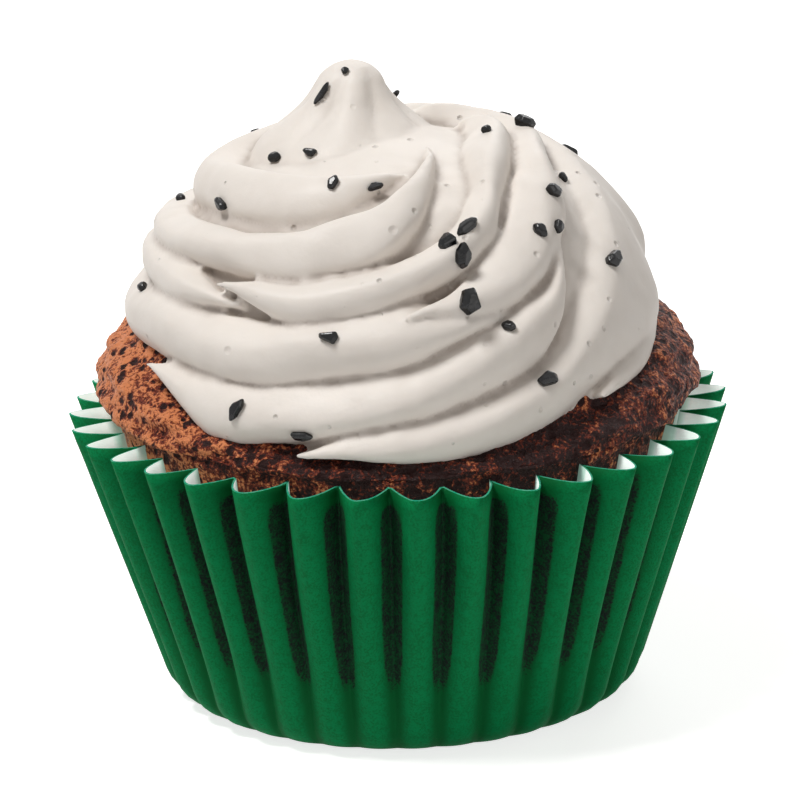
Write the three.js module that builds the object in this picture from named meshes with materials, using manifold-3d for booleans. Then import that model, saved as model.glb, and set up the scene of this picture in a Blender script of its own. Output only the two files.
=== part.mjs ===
// A frosted chocolate cupcake in its pleated paper baking cup.
// Millimetres, +Z up. The origin is the middle of the cup's flat base, on the surface that it stands on.
// The front, where the lowest ribbon of frosting starts, faces -Y.
import * as THREE from "three";
import { mergeVertices } from "three/addons/utils/BufferGeometryUtils.js";
import Module from "manifold-3d";

const wasm = await Module();
wasm.setup();

// Paper cup
const CUP_HEIGHT = 31.5;
const RIM_RADIUS = 35.5; // to the outside of a pleat's ridge
const BASE_CORNER_RADIUS = 25.4; // where the line of the wall would meet the table
const CORNER_ROUND = 5; // the bend from the base up into the wall
const BASE_FLAT_RADIUS = 19.5; // the smooth disc inside the ends of the pleats
const PLEATS = 36;
const PLEAT_TURN = 2.8; // degrees from +X to the first ridge
const RIM_PLEAT_DEPTH = 4.5;
const BASE_PLEAT_DEPTH = 0.9; // where the pleats turn under the cup
const PAPER = 0.2; // thickness of the sheet
const POINTS_PER_PLEAT = 6;

// Cake
const CAKE_CLEARANCE = 0.3; // between the cake and the pleats' inner folds
const CAKE_OVERHANG = 1.4; // how far the risen cake leans out past the folds at the rim
const CAKE_BULGE_RISE = 2.6; // height of the widest part above the rim
const CAKE_SHOULDER_INSET = 1; // from the folds at the rim in to where the side turns in under the frosting
const CAKE_SHOULDER_RISE = 8.4; // height of that turn above the rim
const CAKE_TOP_RISE = 17; // height of the hidden dome above the rim
const CAKE_FRONT_DROP = 6.6; // the cake has risen less at the front
const CAKE_FRONT_AZIMUTH = -88;
const CAKE_FRONT_HALF_WIDTH = 64; // degrees
const CAKE_LUMP = 0.5; // height of the crumb's largest lumps
const CAKE_SIDES = 54;

// Frosting: the height and radius of the dome that the crests of the ribbons touch
const FROSTING_CLEARANCE = 0.3; // between the frosting and the cake
const FROSTING_RISE = 1.5; // height of the lowest crest above the cup's rim
const FROSTING_OVERHANG = 1; // how far the widest crest reaches past the cake's shoulder
const FROSTING_DOME = [
  // height above the lowest crest, share of the widest radius, share of that which the middle of the slim side lacks
  [0, 1, 0.04],
  [4, 0.987, 0.045],
  [8, 0.955, 0.045],
  [12, 0.926, 0.045],
  [16, 0.884, 0.056],
  [20, 0.813, 0.066],
  [23, 0.735, 0.07],
  [25, 0.665, 0.06],
  [26.8, 0.555, 0.01],
  [28.2, 0.42, -0.14],
  [29.2, 0.29, -0.38],
  [30, 0.16, -0.75],
  [30.4, 0.065, -1.2],
];
const FROSTING_SLIM_AZIMUTH = 5; // the middle of the slim side, in degrees
const CORE_INSET = 3; // from the crests in to the solid middle
const RIBBON_BACK = 7; // how far a ribbon reaches in from its crest
const RIBBON_STEP = 12; // degrees of turn between two sections of a ribbon
const RIBBON_TAPER = 25; // degrees of turn over which its ends narrow

// The crest of each ribbon is a line of [azimuth in degrees, height in mm above the lowest crest, reach in mm from the
// crest down the dome, reach up it]. They all climb anticlockwise seen from above. The depth is from the crest down to
// the ribbon's lower edge.
const RIBBONS = {
  first: {
    depth: 3.4,
    crest: [
      [-110, 1.4, 0.8, 1.2],
      [-104, 1.9, 1.5, 2.2],
      [-92, 2.4, 2, 2.9],
      [-78, 3.7, 3.3, 3],
      [-66, 5.5, 3.8, 3],
      [-53, 7.9, 4.8, 3.2],
      [-40, 11.7, 7, 3.8],
      [-27, 15.8, 9.8, 4.6],
      [-15, 19.8, 12.5, 4.6],
      [0, 23, 14, 4.2],
      [20, 26, 14.5, 3.6],
      [35, 27.4, 14, 3],
      [50, 28.3, 12.5, 2.8],
      [70, 29, 10, 2.6],
      [90, 29, 8, 2.4],
      [125, 28, 6.5, 2],
      [150, 27, 5, 2.6],
      [165, 26, 4.2, 3],
      [174, 25.6, 3.6, 3],
      [195, 26.3, 3.6, 3],
      [215, 26.8, 4, 2.6],
      [239, 27, 3.8, 2.6],
      [254, 27.3, 3, 2.4],
      [267, 27.8, 1.7, 2],
      [276, 28.3, 0.9, 1.4],
    ],
  },
  second: {
    depth: 3,
    crest: [
      [-153, 7.4, 0.8, 1],
      [-148, 7.2, 2.6, 2.4],
      [-138, 6.2, 3.8, 3.4],
      [-127, 4.8, 3.4, 4],
      [-115, 5, 2.5, 4],
      [-105, 5.4, 2.2, 4.2],
      [-93, 6.5, 2.2, 4],
      [-82, 8.3, 3.1, 3.6],
      [-69, 11.2, 4.3, 3],
      [-59, 13.9, 5, 2.2],
      [-50, 16.2, 5.2, 1.8],
      [-44, 19, 5, 1.4],
      [-38, 21.5, 3, 0.8],
    ],
  },
  third: {
    depth: 3,
    crest: [
      [34, 9.6, 1.2, 1.6],
      [44, 10, 2.6, 3],
      [80, 10.8, 3.4, 3.4],
      [115, 11.2, 3.6, 3.6],
      [150, 11.3, 3.6, 3.6],
      [180, 10.8, 3.6, 3.6],
      [211, 12.4, 4.2, 3.4],
      [227, 11.4, 3.7, 3.2],
      [239, 11.6, 4, 3],
      [248, 12.6, 4.2, 2.8],
      [260, 12.9, 3.6, 3.2],
      [275, 13.8, 2.9, 3.6],
      [288, 14.6, 1.5, 2],
      [297, 15.2, 0.8, 1],
    ],
  },
  fourth: {
    depth: 2.6,
    crest: [
      [-134, 17.4, 0.8, 0.8],
      [-127, 17.5, 2.2, 1.8],
      [-113, 17, 2.6, 2.4],
      [-100, 18.1, 2.7, 2.2],
      [-87, 19.7, 2.5, 2.2],
      [-74, 21.7, 2.5, 2.4],
      [-62, 24.7, 3, 2.8],
      [-54, 26.8, 2.8, 3.2],
      [-46, 28, 3, 3.2],
      [-30, 29, 2.6, 3],
      [0, 29.6, 2, 2.4],
      [30, 30, 1, 1.2],
    ],
  },
  fifth: {
    depth: 3,
    crest: [
      [-44, 4.6, 1, 1.4],
      [-36, 5.4, 2, 2.6],
      [-16, 7.6, 2.6, 3.2],
      [8, 11, 3, 3.6],
      [50, 14.6, 3, 3.6],
      [95, 17, 3, 3.4],
      [135, 18.8, 2.8, 3],
      [165, 19.6, 2.4, 2.8],
      [194, 20, 1.8, 2.8],
      [215, 20.7, 1.9, 2.6],
      [235, 21.8, 3.2, 2],
      [246, 22.7, 4, 1.6],
      [255, 23.9, 4.5, 1.8],
      [266, 25.3, 5, 1.8],
      [274, 26.7, 5, 1.8],
      [282, 27.9, 4.6, 2],
      [292, 29, 3.4, 2],
      [300, 29.8, 1.8, 1.4],
    ],
  },
  sixth: {
    depth: 2.6,
    crest: [
      [-88, 15.4, 0.6, 0.8],
      [-84, 16, 1.4, 1.8],
      [-78, 16.2, 2, 2.6],
      [-66, 17.4, 2.5, 3.8],
      [-53, 19.6, 2.8, 5.3],
      [-44, 22.4, 3.8, 4.6],
      [-33, 25, 4, 3.5],
      [-22, 26.8, 2.9, 2.6],
      [10, 28.2, 2.8, 2.4],
      [35, 29, 2.6, 2],
      [60, 29.6, 2.4, 1.6],
      [80, 29.9, 1.8, 1.2],
    ],
  },
  seventh: {
    depth: 2.6,
    crest: [
      [120, 13.5, 1, 1],
      [140, 14.8, 2.4, 2],
      [165, 16.4, 2.8, 2.2],
      [185, 17.2, 2.8, 2],
      [205, 17, 2.6, 2],
      [220, 16.4, 2.2, 1.8],
      [232, 15.8, 1, 1.2],
    ],
  },
};

// The section of a ribbon, from its upper edge to its lower one: [share of the reach, up the dome or, below 0, down it,
// share of the depth below the crest]
const RIBBON_SECTION = [
  [1, 0.85],
  [0.62, 0.38],
  [0.28, 0.1],
  [-0.15, 0.01],
  [-0.6, 0.22],
  [-0.88, 0.55],
  [-1, 1],
];

// Peak: where the nozzle lifted off, fluted by its teeth
const PEAK_X = -4.6;
const PEAK_Y = 3;
const PEAK_FLUTES = 6;
const PEAK_TWIST = 50; // degrees from its foot to its tip
const PEAK_LEAN = 0.5; // mm towards +X at the tip
const PEAK_PROFILE = [
  // height above the lowest crest, radius, share of the radius that the flutes cut in
  [24, 11, 0],
  [27.5, 9.4, 0.06],
  [29.4, 7.2, 0.12],
  [31.2, 5.3, 0.17],
  [33, 4, 0.17],
  [34.5, 2.8, 0.12],
  [35.3, 1.5, 0.04],
  [35.6, 0.5, 0],
];

// Sprinkles: coarse sugar crystals, as [azimuth, height above the lowest crest, length, width, turn in degrees]
const CRYSTAL_THICKNESS = 0.62; // share of its width
const CRYSTAL_GAP = 0.06; // between a crystal and the frosting that it lies on
const CRYSTALS = [
  [-106, 35, 1.2, 0.9, 30],
  [-132, 32.8, 3.3, 0.9, 72],
  [44, 30.6, 3.4, 1, -33],
  [143, 26.1, 1.8, 1.1, 0],
  [-166, 28.1, 1.8, 1.5, -10],
  [-147, 28.8, 1.8, 1.2, 15],
  [-111, 26.8, 2.2, 1.2, 85],
  [-96, 27.1, 2, 1.1, 30],
  [170, 21.6, 1.8, 1.2, 15],
  [-153, 24.3, 2.3, 1.4, -20],
  [-168, 13.8, 1.6, 1.3, 30],
  [-71, 23.3, 2.8, 1.7, 10],
  [-77, 22.4, 2.4, 2.1, 30],
  [-73, 20.6, 2.8, 2.1, 80],
  [-74, 16.4, 3.1, 2.8, -20],
  [-66, 14.4, 1.7, 1.4, -50],
  [-104, 13.6, 2.4, 1.6, -5],
  [9, 28.5, 2.4, 2, 85],
  [-24, 29.5, 1.7, 1.2, 0],
  [-35, 24.3, 2.4, 1.7, -30],
  [-9, 24.9, 1.5, 1.1, 70],
  [-49, 21.7, 1.9, 1.6, -60],
  [-41, 21.4, 2, 1.4, 100],
  [-27, 17, 2.6, 2.1, 10],
  [-58, 8.1, 2.7, 1.9, 10],
  [-123, 5.6, 2.8, 1.5, 65],
  [-109, 3.5, 3.1, 1.2, -5],
  [28, 23, 2.4, 1.8, 40],
  [22, 12.4, 2.6, 1.8, -30],
  [48, 26.2, 2.2, 1.6, 10],
  [66, 18.6, 2.8, 2, 70],
  [84, 12.8, 2.4, 1.7, -15],
  [98, 24.4, 2.5, 1.9, 35],
  [112, 14.6, 2.2, 1.5, 80],
  [126, 27.2, 2.3, 1.6, 5],
  [138, 20.4, 2.7, 1.8, -40],
  [154, 12.6, 2.4, 1.6, 25],
  [160, 17.6, 2.1, 1.5, 60],
];

const radians = THREE.MathUtils.degToRad;

const colours = {
  paper: new THREE.MeshStandardMaterial({ color: 0x0a7a42, roughness: 0.75, metalness: 0 }),
  cake: new THREE.MeshStandardMaterial({ color: 0x4a1c10, roughness: 0.7, metalness: 0 }),
  frosting: new THREE.MeshStandardMaterial({ color: 0xe9e3de, roughness: 0.45, metalness: 0 }),
  sugar: new THREE.MeshStandardMaterial({ color: 0x17171a, roughness: 0.2, metalness: 0 }),
};

// A closed surface through rings of the same number of points, anticlockwise seen from the last ring's end.
// A fan closes each end.
function loft(rings) {
  const count = rings[0].length;
  const middle = (ring) => ring.reduce((sum, p) => sum.add(p), new THREE.Vector3()).divideScalar(count);
  const points = [...rings.flat(), middle(rings[0]), middle(rings.at(-1))];
  const startCap = rings.length * count;
  const index = [];
  for (let i = 0; i < count; i++) {
    const next = (i + 1) % count;
    for (let r = 0; r + 1 < rings.length; r++) {
      const low = r * count;
      const high = low + count;
      index.push(low + i, low + next, high + next, low + i, high + next, high + i);
    }
    const last = (rings.length - 1) * count;
    index.push(next, i, startCap, last + i, last + next, startCap + 1);
  }
  return new THREE.BufferGeometry().setFromPoints(points).setIndex(index);
}

// A three.js geometry as a manifold-3d solid.
function solidOf(geometry) {
  const bare = geometry.clone();
  bare.deleteAttribute("normal");
  bare.deleteAttribute("uv");
  const merged = mergeVertices(bare, 1e-4);
  const mesh = new wasm.Mesh({
    numProp: 3,
    vertProperties: merged.attributes.position.array,
    triVerts: new Uint32Array(merged.index.array),
  });
  return new wasm.Manifold(mesh);
}

// A manifold-3d solid as a three.js geometry.
function geometryOf(solid) {
  const mesh = solid.getMesh();
  return new THREE.BufferGeometry()
    .setAttribute("position", new THREE.BufferAttribute(mesh.vertProperties, 3))
    .setIndex(new THREE.BufferAttribute(mesh.triVerts, 1));
}

function node(name, geometry, material) {
  const mesh = new THREE.Mesh(geometry, material);
  mesh.name = name;
  return mesh;
}

// A value read from a table of [at, value, ...] rows, straight between two rows.
function between(table, at, column = 1) {
  const next = table.findIndex((row) => row[0] >= at);
  if (next === 0) return table[0][column];
  if (next < 0) return table.at(-1)[column];
  const [low, high] = [table[next - 1], table[next]];
  return THREE.MathUtils.mapLinear(at, low[0], high[0], low[column], high[column]);
}

// Paper cup

// The outline of the wall, from the edge of the flat disc up to the rim: [radius of the ridges, height, pleat depth].
function cupOutline() {
  const lean = Math.atan2(CUP_HEIGHT, RIM_RADIUS - BASE_CORNER_RADIUS);
  const reach = CORNER_ROUND * Math.tan((Math.PI - lean) / 2) * Math.tan(lean / 2) ** 2;
  const bendRadius = BASE_CORNER_RADIUS - reach;
  const outline = [[BASE_FLAT_RADIUS, 0, 0]];
  for (const turn of [0.3, 1]) {
    const angle = -Math.PI / 2 + turn * lean;
    outline.push([
      bendRadius + CORNER_ROUND * Math.cos(angle),
      CORNER_ROUND * (1 + Math.sin(angle)),
      BASE_PLEAT_DEPTH * turn,
    ]);
  }
  const [startRadius, startHeight] = outline.at(-1);
  for (const climb of [0.45, 1]) {
    outline.push([
      THREE.MathUtils.lerp(startRadius, RIM_RADIUS, climb),
      THREE.MathUtils.lerp(startHeight, CUP_HEIGHT, climb),
      THREE.MathUtils.lerp(BASE_PLEAT_DEPTH, RIM_PLEAT_DEPTH, climb),
    ]);
  }
  return outline;
}

// One level ring of the pleated sheet: ridges are round outside, and folds are sharp inside.
function pleatRing(radius, height, depth) {
  const count = PLEATS * POINTS_PER_PLEAT;
  return Array.from({ length: count }, (_, i) => {
    const ridge = Math.abs(Math.cos((Math.PI * i) / POINTS_PER_PLEAT));
    const r = radius - depth * (1 - ridge);
    const azimuth = radians(PLEAT_TURN) + (2 * Math.PI * i) / count;
    return new THREE.Vector3(r * Math.cos(azimuth), r * Math.sin(azimuth), height);
  });
}

// The same ring moved in by the thickness of the sheet, square to the sheet.
function insideRing(ring, lift) {
  return ring.map((point, i) => {
    const before = ring[(i + ring.length - 1) % ring.length];
    const after = ring[(i + 1) % ring.length];
    const sides = [point.clone().sub(before), after.clone().sub(point)].map((side) => side.normalize());
    const inward = sides.map((side) => new THREE.Vector3(-side.y, side.x, 0));
    const mitre = inward[0].clone().add(inward[1]).normalize();
    const reach = PAPER / Math.max(mitre.dot(inward[0]), 0.5);
    return point.clone().addScaledVector(mitre, reach).add(new THREE.Vector3(0, 0, lift));
  });
}

function paperCup() {
  const outline = cupOutline();
  const outside = outline.map(([radius, height, depth]) => pleatRing(radius, height, depth));
  const inside = outside.map((ring, i) => {
    const turned = THREE.MathUtils.clamp(outline[i][1] / CORNER_ROUND, 0, 1);
    return insideRing(ring, i === outside.length - 1 ? 0 : PAPER * (1 - turned));
  });
  return loft([...outside, ...inside.reverse()]);
}

// Cake

const rimFoldRadius = RIM_RADIUS - RIM_PLEAT_DEPTH;
const cakeShoulder = rimFoldRadius - CAKE_SHOULDER_INSET;

// Inner radius that the folds of the cup leave at a height.
function foldRadius(height) {
  const rows = cupOutline().map(([radius, z, depth]) => [z, radius - depth]);
  return between(rows, height) - PAPER / Math.cos(radians(60));
}

// How much of the cake's rise is lost at an azimuth, from 0 to 1 at the middle of the front.
function frontShare(azimuth) {
  const away = THREE.MathUtils.euclideanModulo(azimuth - CAKE_FRONT_AZIMUTH + 180, 360) - 180;
  return Math.exp(-((Math.abs(away) / CAKE_FRONT_HALF_WIDTH) ** 3));
}

// How far the crumb stands out or in at a place above the rim.
function lump(azimuth, height) {
  const above = THREE.MathUtils.smoothstep(height, CUP_HEIGHT - 1, CUP_HEIGHT + 1);
  const turn = radians(azimuth);
  const waves = Math.sin(9 * turn + 1.9 * height) + Math.sin(13 * turn - 2.3 * height) * Math.cos(4 * turn);
  return 0.5 * CAKE_LUMP * above * waves;
}

// The cake, or with grow the space that it needs with a clearance all round.
function cakeSolid(grow = 0) {
  const floor = PAPER + CAKE_CLEARANCE;
  const sideLevels = [CORNER_ROUND, 0.55 * CUP_HEIGHT, CUP_HEIGHT - 0.4];
  const ringAt = (radiusAt, heightAt) =>
    Array.from({ length: CAKE_SIDES }, (_, i) => {
      const azimuth = (360 * i) / CAKE_SIDES;
      const front = frontShare(azimuth);
      const height = heightAt(front);
      const radius = radiusAt(front) + grow + lump(azimuth, height);
      return new THREE.Vector3(radius * Math.cos(radians(azimuth)), radius * Math.sin(radians(azimuth)), height);
    });
  const bulge = rimFoldRadius + CAKE_OVERHANG;
  const shoulder = cakeShoulder;
  const shoulderRise = (front) => CAKE_SHOULDER_RISE - CAKE_FRONT_DROP * front;
  const topRise = (front) => CAKE_TOP_RISE - CAKE_FRONT_DROP * front * 0.6;
  const foot = foldRadius(CORNER_ROUND) - CAKE_CLEARANCE - 3;
  const rings = [ringAt(() => foot, () => floor - grow)];
  for (const level of sideLevels)
    rings.push(ringAt(() => foldRadius(level) - CAKE_CLEARANCE, () => level));
  rings.push(
    ringAt(
      (front) => THREE.MathUtils.lerp(bulge, shoulder + 0.7, front),
      (front) => CUP_HEIGHT + CAKE_BULGE_RISE * (1 - 0.7 * front),
    ),
    ringAt(
      (front) => shoulder + 1.4 - 1.2 * front,
      (front) => CUP_HEIGHT + 0.75 * shoulderRise(front) + 0.3,
    ),
    ringAt(
      () => shoulder - 1.6,
      (front) => CUP_HEIGHT + shoulderRise(front) + 1 + grow,
    ),
    ringAt(
      () => 0.72 * shoulder,
      (front) => CUP_HEIGHT + THREE.MathUtils.lerp(shoulderRise(front), topRise(front), 0.55) + grow,
    ),
    ringAt(
      () => 0.35 * shoulder,
      (front) => CUP_HEIGHT + THREE.MathUtils.lerp(shoulderRise(front), topRise(front), 0.92) + grow,
    ),
  );
  return solidOf(loft(rings));
}

// Frosting

const lowestCrest = CUP_HEIGHT + FROSTING_RISE;
const widestCrest = cakeShoulder + FROSTING_OVERHANG;

// The point of the dome at an azimuth and a rise, and the directions out of it and up along it.
function onDome(azimuth, rise) {
  const step = 0.5;
  const towards = Math.max(Math.cos(radians(azimuth - FROSTING_SLIM_AZIMUTH)), 0);
  const radiusAt = (height) =>
    widestCrest * between(FROSTING_DOME, height) * (1 - towards * between(FROSTING_DOME, height, 2));
  const radius = radiusAt(rise);
  const change = (radiusAt(rise + step) - radiusAt(rise - step)) / (2 * step);
  const outward = new THREE.Vector3(Math.cos(radians(azimuth)), Math.sin(radians(azimuth)), 0);
  const point = outward.clone().multiplyScalar(radius).setZ(lowestCrest + rise);
  const up = outward.clone().multiplyScalar(change).setZ(1).normalize();
  const out = outward.clone().multiplyScalar(up.z).setZ(-up.dot(outward));
  return { point, up, out };
}

// A smooth line through [azimuth, rise, reach down, reach up] rows, read every few degrees of turn.
function smoothCrest(rows) {
  const curves = [1, 2, 3].map((column) => {
    const knots = rows.map((row) => new THREE.Vector3(row[0] / 10, row[column], 0));
    return new THREE.CatmullRomCurve3(knots, false, "centripetal");
  });
  const [start, end] = [rows[0][0], rows.at(-1)[0]];
  const steps = Math.ceil((end - start) / RIBBON_STEP);
  return Array.from({ length: steps + 1 }, (_, i) => {
    const azimuth = THREE.MathUtils.lerp(start, end, i / steps);
    return [azimuth, ...curves.map((curve) => heightOver(curve, azimuth / 10))];
  });
}

// The height of a rising curve over a place along it.
function heightOver(curve, place) {
  let [low, high] = [0, 1];
  for (let halving = 0; halving < 20; halving++) {
    const mid = (low + high) / 2;
    if (curve.getPoint(mid).x < place) low = mid;
    else high = mid;
  }
  return curve.getPoint((low + high) / 2).y;
}

function ribbonSolid({ crest, depth }) {
  const [start, end] = [crest[0][0], crest.at(-1)[0]];
  const rings = smoothCrest(crest).map(([azimuth, rise, fullDown, fullAbove]) => {
    const { point, up, out } = onDome(azimuth, rise);
    const width = Math.min(1, 0.15 + Math.min(azimuth - start, end - azimuth) / RIBBON_TAPER);
    const [down, above] = [width * fullDown, width * fullAbove];
    const deep = Math.min(depth, 1.2 * Math.min(down, above));
    const place = (share, inset) =>
      point
        .clone()
        .addScaledVector(up, share * (share < 0 ? down : above))
        .addScaledVector(out, -inset);
    const face = RIBBON_SECTION.map(([share, below]) => place(share, below * deep));
    return [...face, place(-0.95, RIBBON_BACK), place(0.95, RIBBON_BACK)];
  });
  return solidOf(loft(rings));
}

function coreSolid() {
  const profile = [new THREE.Vector2(0, CUP_HEIGHT)];
  for (const [rise, share] of FROSTING_DOME) {
    const radius = Math.max(share * widestCrest - CORE_INSET, 1);
    profile.push(new THREE.Vector2(radius, lowestCrest + rise - 0.4 * CORE_INSET));
  }
  profile.push(new THREE.Vector2(0, lowestCrest + FROSTING_DOME.at(-1)[0] - 0.4 * CORE_INSET));
  const lathe = new THREE.LatheGeometry(profile, CAKE_SIDES).rotateX(Math.PI / 2);
  return solidOf(lathe);
}

// How far up the peak a rise is, from 0 at its foot to 1 at its tip.
function peakClimb(rise) {
  const [footRise] = PEAK_PROFILE[0];
  return (rise - footRise) / (PEAK_PROFILE.at(-1)[0] - footRise);
}

// The middle of the peak at a rise.
function peakAxis(rise) {
  return new THREE.Vector3(PEAK_X + PEAK_LEAN * peakClimb(rise) ** 2, PEAK_Y, lowestCrest + rise);
}

function peakSolid() {
  const count = PEAK_FLUTES * 4;
  const rings = PEAK_PROFILE.map(([rise, radius, cut]) =>
    Array.from({ length: count }, (_, i) => {
      const azimuth = (2 * Math.PI * i) / count + radians(PEAK_TWIST) * peakClimb(rise);
      const r = radius * (1 - cut * (1 - Math.abs(Math.cos((Math.PI * i) / 4))));
      return peakAxis(rise).add(new THREE.Vector3(r * Math.cos(azimuth), r * Math.sin(azimuth), 0));
    }),
  );
  return solidOf(loft(rings));
}

function frostingSolid() {
  const ribbons = Object.values(RIBBONS).map(ribbonSolid);
  const swirl = ribbons.reduce((sum, ribbon) => sum.add(ribbon), coreSolid()).add(peakSolid());
  return swirl.subtract(cakeSolid(FROSTING_CLEARANCE));
}

// Sprinkles

// One crystal: a flat five- or six-sided chip whose edges slope in above and below.
function crystalGeometry(length, width, number) {
  const sides = 5 + (number % 2);
  const tilt = 0.12 * Math.sin(number * 2.3);
  const levels = [
    [-0.5, 0.78],
    [0.05, 1],
    [0.5, 0.66],
  ];
  const rings = levels.map(([level, share]) =>
    Array.from({ length: sides }, (_, i) => {
      const angle = (2 * Math.PI * (i + 0.22 * Math.sin(number * 1.7 + i * 2.9))) / sides;
      const reach = share * (1 + 0.12 * Math.sin(number * 3.1 + i * 1.9));
      return new THREE.Vector3(
        0.5 * length * reach * Math.cos(angle),
        0.5 * width * reach * Math.sin(angle),
        CRYSTAL_THICKNESS * width * (level + tilt * Math.cos(angle) * (level > 0 ? 1 : 0)),
      );
    }),
  );
  return loft(rings);
}

// Where a line from outside the dome meets the frosting, the way out along that line, and the surface's direction.
function landing(frostingMesh, azimuth, rise) {
  const domeTop = FROSTING_DOME.at(-1)[0];
  let { point, out } = onDome(azimuth, rise);
  if (rise > domeTop) {
    out = new THREE.Vector3(Math.cos(radians(azimuth)), Math.sin(radians(azimuth)), 0);
    point = peakAxis(rise);
  }
  const caster = new THREE.Raycaster(point.addScaledVector(out, 20), out.clone().negate());
  const [hit] = caster.intersectObject(frostingMesh);
  return { point: hit.point, out, normal: hit.face.normal.clone() };
}

// A crystal laid on the frosting, and drawn back along its own way until it is clear.
function placeCrystal(frosting, frostingMesh, row, number) {
  const [azimuth, rise, length, width, turn] = row;
  const { point, out, normal } = landing(frostingMesh, azimuth, rise);
  const tangent = new THREE.Vector3(-Math.sin(radians(azimuth)), Math.cos(radians(azimuth)), 0);
  tangent.addScaledVector(normal, -tangent.dot(normal)).normalize();
  const basis = new THREE.Matrix4().makeBasis(tangent, normal.clone().cross(tangent), normal);
  const spin = new THREE.Quaternion().setFromAxisAngle(new THREE.Vector3(0, 0, 1), radians(turn));
  const mesh = node(
    `sprinkle_${String(number + 1).padStart(2, "0")}`,
    crystalGeometry(length, width, number),
    colours.sugar,
  );
  mesh.quaternion.setFromRotationMatrix(basis).multiply(spin);
  const isClear = (lift) => {
    mesh.position.copy(point).addScaledVector(out, lift);
    mesh.updateMatrixWorld(true);
    const placed = solidOf(mesh.geometry.clone().applyMatrix4(mesh.matrixWorld));
    return frosting.intersect(placed).isEmpty();
  };
  let [low, high] = [0, 2 * RIBBON_BACK];
  while (high - low > CRYSTAL_GAP) {
    const mid = (low + high) / 2;
    if (isClear(mid)) high = mid;
    else low = mid;
  }
  mesh.position.copy(point).addScaledVector(out, high + CRYSTAL_GAP);
  return mesh;
}

const cupcake = new THREE.Group();
cupcake.add(node("paper_cup", paperCup(), colours.paper));
cupcake.add(node("cake", geometryOf(cakeSolid()), colours.cake));
const frosting = frostingSolid();
const frostingMesh = node("frosting", geometryOf(frosting), colours.frosting);
frostingMesh.material.side = THREE.DoubleSide;
cupcake.add(frostingMesh);
CRYSTALS.forEach((row, number) => cupcake.add(placeCrystal(frosting, frostingMesh, row, number)));

export default cupcake;
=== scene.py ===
"""Looks of a frosted chocolate cupcake in its pleated green paper baking cup.

Lengths in the dataclasses are in millimetres and azimuths in degrees from +X, anticlockwise seen
from above. Meshes are made in metres. The front of the cupcake faces -Y.
"""

from __future__ import annotations

import logging
import math
from dataclasses import dataclass, field
from enum import Enum

import bmesh
import bpy
import numpy as np
from mathutils import Matrix, Vector, noise
from mathutils.bvhtree import BVHTree

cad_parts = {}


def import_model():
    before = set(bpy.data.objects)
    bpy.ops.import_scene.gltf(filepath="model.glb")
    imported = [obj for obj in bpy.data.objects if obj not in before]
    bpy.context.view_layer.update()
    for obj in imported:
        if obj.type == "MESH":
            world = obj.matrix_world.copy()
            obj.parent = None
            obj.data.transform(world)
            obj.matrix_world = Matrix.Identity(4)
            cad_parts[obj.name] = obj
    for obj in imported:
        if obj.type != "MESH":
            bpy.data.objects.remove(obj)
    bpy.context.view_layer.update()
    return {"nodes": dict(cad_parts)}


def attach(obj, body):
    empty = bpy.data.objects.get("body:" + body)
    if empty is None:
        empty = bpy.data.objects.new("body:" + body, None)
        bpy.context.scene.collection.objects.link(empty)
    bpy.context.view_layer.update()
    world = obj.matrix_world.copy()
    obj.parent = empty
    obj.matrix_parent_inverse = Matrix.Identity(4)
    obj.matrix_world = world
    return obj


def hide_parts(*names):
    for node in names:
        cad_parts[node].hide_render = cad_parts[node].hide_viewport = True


LOG = logging.getLogger("cupcake")
MM = 0.001


class Side(Enum):
    """Which face of the paper a finish is for."""

    OUTSIDE = 0
    INSIDE = 1
    CUT_EDGE = 2


# Helpers


def deselect_all() -> None:
    """Leaves no object selected or active."""
    if bpy.context.object and bpy.context.object.mode != "OBJECT":
        bpy.ops.object.mode_set(mode="OBJECT")
    bpy.ops.object.select_all(action="DESELECT")


def make_active(piece: bpy.types.Object) -> None:
    """Selects one object alone and makes it active."""
    deselect_all()
    piece.select_set(True)
    bpy.context.view_layer.objects.active = piece


def apply_modifier(piece: bpy.types.Object, name: str, kind: str, **values: object) -> None:
    """Adds a modifier to a piece and applies it.

    Args:
        piece: The object to change.
        name: What the modifier is called.
        kind: Blender's name for the kind of modifier.
        **values: Settings of the modifier.
    """
    make_active(piece)
    modifier = piece.modifiers.new(name, kind)
    for key, value in values.items():
        setattr(modifier, key, value)
    bpy.ops.object.modifier_apply(modifier=modifier.name)


def points_of(piece: bpy.types.Object) -> np.ndarray:
    """Vertex positions of a piece in millimetres, one row each."""
    flat = np.empty(3 * len(piece.data.vertices))
    piece.data.vertices.foreach_get("co", flat)
    return flat.reshape(-1, 3) / MM


def move_points(piece: bpy.types.Object, points: np.ndarray) -> None:
    """Puts the vertices of a piece at positions given in millimetres."""
    piece.data.vertices.foreach_set("co", (points * MM).ravel())
    piece.data.update()


def smooth_step(low: float, high: float, value: np.ndarray) -> np.ndarray:
    """Rises smoothly from 0 at low to 1 at high."""
    share = np.clip((np.asarray(value, dtype=float) - low) / (high - low), 0, 1)
    return share * share * (3 - 2 * share)


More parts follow.
